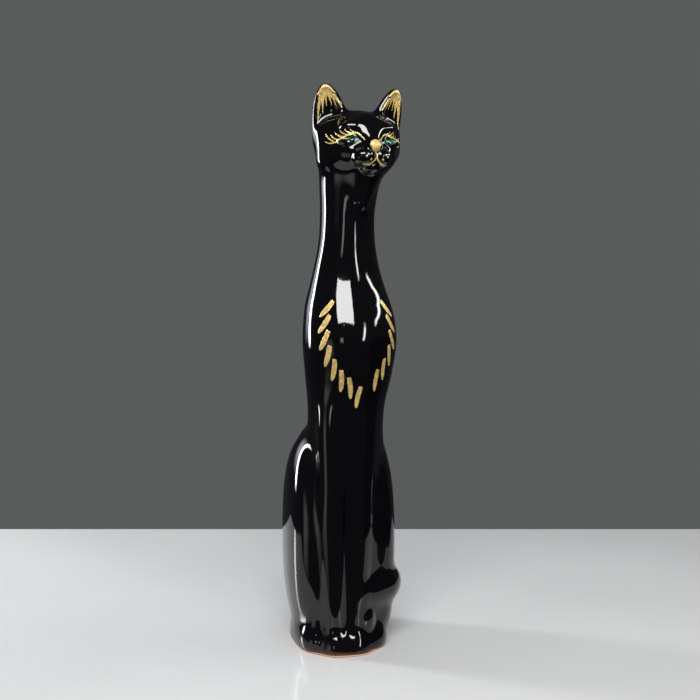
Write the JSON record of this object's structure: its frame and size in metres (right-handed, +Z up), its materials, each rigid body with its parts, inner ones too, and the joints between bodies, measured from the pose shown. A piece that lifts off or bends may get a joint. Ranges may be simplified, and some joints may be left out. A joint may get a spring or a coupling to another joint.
{
  "type": "cat figurine",
  "caption": "Tall slender seated cat figurine, slip cast in clay under a glossy black glaze, with gold brushwork on ears, face and chest, and green eyes.",
  "frame": {"origin": "middle of the foot, on the ground plane", "axes": "+Z up, the cat faces -Y, the cat's left side is +X"},
  "size_m": [0.0845, 0.1095, 0.3901],
  "materials": {
    "black_glaze": "glossy black glaze",
    "bare_clay": "unglazed orange earthenware",
    "gold_lustre": "hand-brushed gold paint, satin",
    "green_enamel": "glossy green enamel",
    "dark_enamel": "glossy dark enamel",
    "white_enamel": "glossy white enamel",
    "cream_enamel": "cream dots of paint"
  },
  "bodies": {
    "root": {"glazed_casting": "black_glaze", "clay_foot": "bare_clay", "ear_gilding_right": "gold_lustre", "ear_gilding_left": "gold_lustre", "lid_line_right": "gold_lustre", "lid_line_left": "gold_lustre", "iris_right": "green_enamel", "iris_left": "green_enamel", "pupil_right": "dark_enamel", "pupil_left": "dark_enamel", "glint_right": "white_enamel", "glint_left": "white_enamel", "nose_gilding": "gold_lustre", "mouth_line": "gold_lustre", "whisker_dots": "cream_enamel", "garland_right": "gold_lustre", "garland_point": "gold_lustre", "garland_left": "gold_lustre"}
  },
  "joints": []
}
